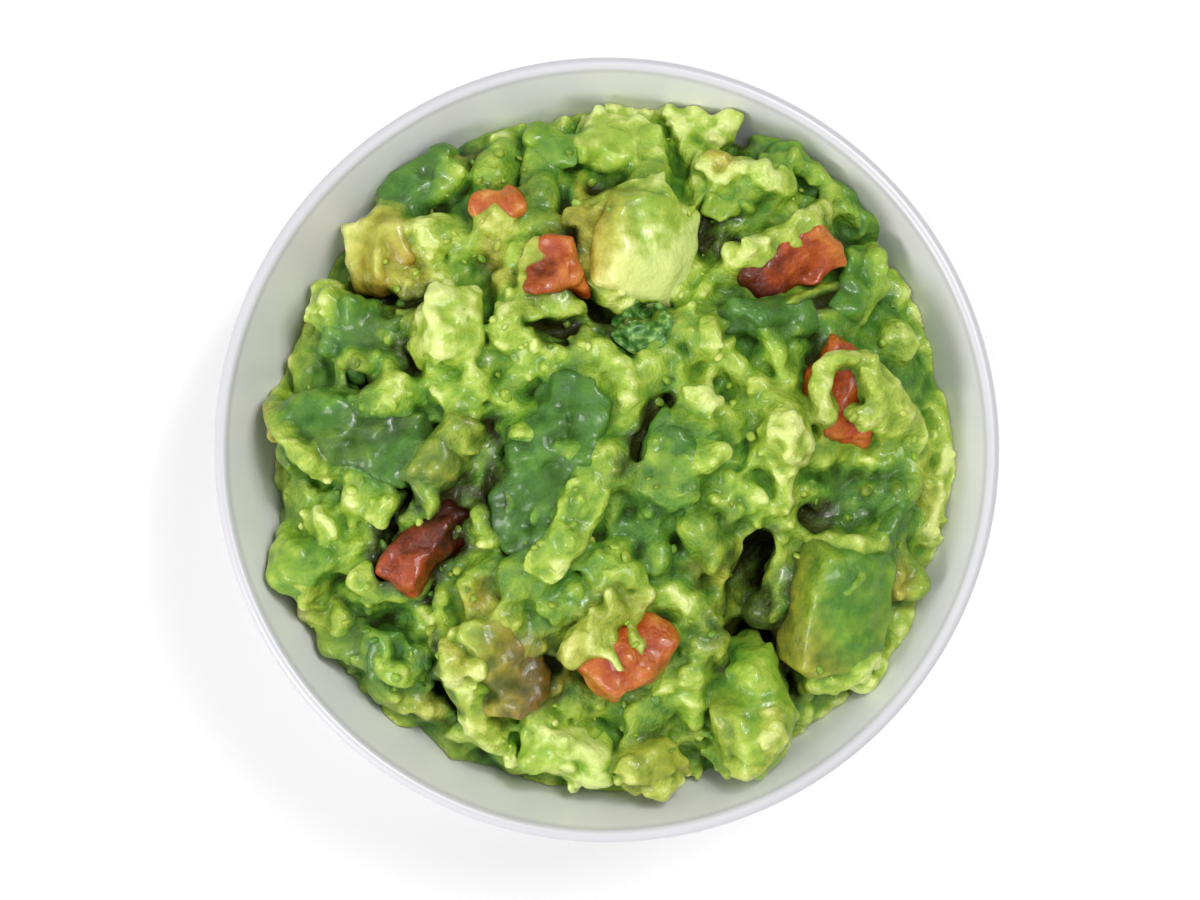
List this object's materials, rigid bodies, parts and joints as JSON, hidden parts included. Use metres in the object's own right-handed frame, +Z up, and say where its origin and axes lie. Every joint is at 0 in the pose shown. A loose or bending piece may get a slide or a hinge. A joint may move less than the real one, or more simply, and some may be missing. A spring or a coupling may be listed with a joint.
{
  "type": "bowl of guacamole",
  "caption": "Small round bowl on a foot ring, heaped above its rim with chunky mashed avocado, larger avocado pieces, diced tomato and a small herb leaf.",
  "frame": {"origin": "centre of the bowl's foot ring, on the plane it stands on", "axes": "+Z up along the bowl's axis; seen from above with +Y away from the viewer, +X points right"},
  "size_m": [0.12, 0.12, 0.0587],
  "materials": {
    "porcelain": "soft white glaze",
    "mash": "moist grainy mash",
    "avocado": "moist smooth flesh",
    "tomato": "wet cut flesh",
    "herb": "moist crinkled leaf"
  },
  "bodies": {
    "root": {"bowl": "porcelain", "mash": "mash", "avocado_01": "avocado", "avocado_02": "avocado", "avocado_03": "avocado", "avocado_04": "avocado", "avocado_05": "avocado", "avocado_06": "avocado", "avocado_07": "avocado", "avocado_08": "avocado", "avocado_09": "avocado", "avocado_10": "avocado", "avocado_11": "avocado", "avocado_12": "avocado", "avocado_13": "avocado", "avocado_14": "avocado", "avocado_15": "avocado", "avocado_16": "avocado", "avocado_17": "avocado", "avocado_18": "avocado", "avocado_19": "avocado", "avocado_20": "avocado", "avocado_21": "avocado", "avocado_22": "avocado", "avocado_23": "avocado", "avocado_24": "avocado", "tomato_01": "tomato", "tomato_02": "tomato", "tomato_03": "tomato", "tomato_04": "tomato", "tomato_05": "tomato", "tomato_06": "tomato", "herb_01": "herb"}
  },
  "joints": []
}
